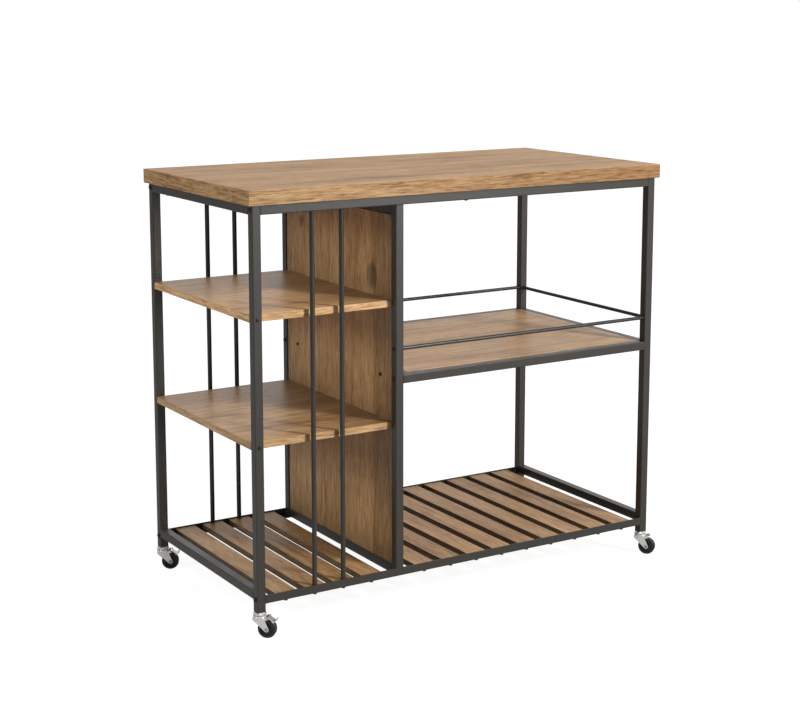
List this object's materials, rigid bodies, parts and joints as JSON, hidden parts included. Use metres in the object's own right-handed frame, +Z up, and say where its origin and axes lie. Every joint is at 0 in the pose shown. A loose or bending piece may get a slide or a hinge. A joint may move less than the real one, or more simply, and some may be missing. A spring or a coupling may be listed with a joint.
{
  "type": "kitchen trolley",
  "caption": "Free-standing kitchen trolley: square-tube frame, wood-grain worktop, shelves and slatted base, rods, guard rails and four swivel casters, two of them with brakes.",
  "frame": {"origin": "on the floor, under the middle of the steel frame and of the worktop", "axes": "+X along the length, from the end with three bays to the end with the guard rail; +Y to the back; +Z up"},
  "size_m": [1.0308, 0.5238, 0.9],
  "materials": {
    "oak_board": "matt wood-grain foil on board",
    "dark_frame": "satin dark grey powder coat",
    "black_screws": "black oxide",
    "plugs": "moulded black",
    "caster_plate": "bright zinc plate",
    "black_wheel": "moulded black wheel"
  },
  "bodies": {
    "frame": {"worktop": "oak_board", "divider_panel": "oak_board", "shelf_upper_left": "oak_board", "shelf_lower_left": "oak_board", "shelf_board_right": "oak_board", "slats_left": "oak_board", "slats_right": "oak_board", "post_front_left": "dark_frame", "post_front_right": "dark_frame", "post_back_left": "dark_frame", "post_back_right": "dark_frame", "post_middle_front": "dark_frame", "post_middle_back": "dark_frame", "rail_top_front": "dark_frame", "rail_top_back": "dark_frame", "rail_top_left": "dark_frame", "rail_top_right": "dark_frame", "rail_bottom_front": "dark_frame", "rail_bottom_back": "dark_frame", "rail_bottom_left": "dark_frame", "rail_bottom_right": "dark_frame", "rail_middle_top": "dark_frame", "rail_middle_bottom": "dark_frame", "shelf_bar_front": "dark_frame", "shelf_bar_back": "dark_frame", "shelf_bar_left": "dark_frame", "shelf_bar_right": "dark_frame", "rod_front_1": "dark_frame", "rod_front_2": "dark_frame", "rod_back_1": "dark_frame", "rod_back_2": "dark_frame", "guard_rail_front": "dark_frame", "guard_rail_back": "dark_frame", "guard_rail_right": "dark_frame", "shelf_tabs": "dark_frame", "frame_bolts": "black_screws", "rail_plugs": "plugs", "worktop_screws": "black_screws", "slat_screws": "black_screws", "shelf_screws": "black_screws", "caster_front_left_mount": "caster_plate", "caster_front_right_mount": "caster_plate", "caster_back_left_mount": "caster_plate", "caster_back_right_mount": "caster_plate"},
    "fork_front_left": {"caster_front_left_fork": "caster_plate", "caster_front_left_pins": "caster_plate"},
    "wheel_front_left": {"caster_front_left_wheel": "black_wheel"},
    "pedal_front_left": {"caster_front_left_pedal": "caster_plate"},
    "fork_front_right": {"caster_front_right_fork": "caster_plate", "caster_front_right_pins": "caster_plate"},
    "wheel_front_right": {"caster_front_right_wheel": "black_wheel"},
    "fork_back_left": {"caster_back_left_fork": "caster_plate", "caster_back_left_pins": "caster_plate"},
    "wheel_back_left": {"caster_back_left_wheel": "black_wheel"},
    "pedal_back_left": {"caster_back_left_pedal": "caster_plate"},
    "fork_back_right": {"caster_back_right_fork": "caster_plate", "caster_back_right_pins": "caster_plate"},
    "wheel_back_right": {"caster_back_right_wheel": "black_wheel"}
  },
  "joints": [
    {"name": "swivel_front_left", "type": "hinge", "parent": "frame", "child": "fork_front_left", "pos_m": [-0.4905, -0.2385, 0.044], "axis": [0, 0, 1], "continuous": true},
    {"name": "roll_front_left", "type": "hinge", "parent": "fork_front_left", "child": "wheel_front_left", "pos_m": [-0.47916, -0.24907, 0.019], "axis": [0.682, 0.7314, 0], "continuous": true},
    {"name": "brake_front_left", "type": "hinge", "parent": "fork_front_left", "child": "pedal_front_left", "pos_m": [-0.47704, -0.25105, 0.0418], "axis": [0.682, 0.7314, 0], "range_deg": [-20, 0]},
    {"name": "swivel_front_right", "type": "hinge", "parent": "frame", "child": "fork_front_right", "pos_m": [0.4905, -0.2385, 0.044], "axis": [0, 0, 1], "continuous": true},
    {"name": "roll_front_right", "type": "hinge", "parent": "fork_front_right", "child": "wheel_front_right", "pos_m": [0.49983, -0.25088, 0.019], "axis": [0.7986, 0.6018, 0], "continuous": true},
    {"name": "swivel_back_left", "type": "hinge", "parent": "frame", "child": "fork_back_left", "pos_m": [-0.4905, 0.2385, 0.044], "axis": [0, 0, 1], "continuous": true},
    {"name": "roll_back_left", "type": "hinge", "parent": "fork_back_left", "child": "wheel_back_left", "pos_m": [-0.47645, 0.23195, 0.019], "axis": [0.4226, 0.9063, 0], "continuous": true},
    {"name": "brake_back_left", "type": "hinge", "parent": "fork_back_left", "child": "pedal_back_left", "pos_m": [-0.47382, 0.23072, 0.0418], "axis": [0.4226, 0.9063, 0], "range_deg": [-20, 0]},
    {"name": "swivel_back_right", "type": "hinge", "parent": "frame", "child": "fork_back_right", "pos_m": [0.4905, 0.2385, 0.044], "axis": [0, 0, 1], "continuous": true},
    {"name": "roll_back_right", "type": "hinge", "parent": "fork_back_right", "child": "wheel_back_right", "pos_m": [0.5032, 0.22961, 0.019], "axis": [0.5736, 0.8192, 0], "continuous": true}
  ]
}
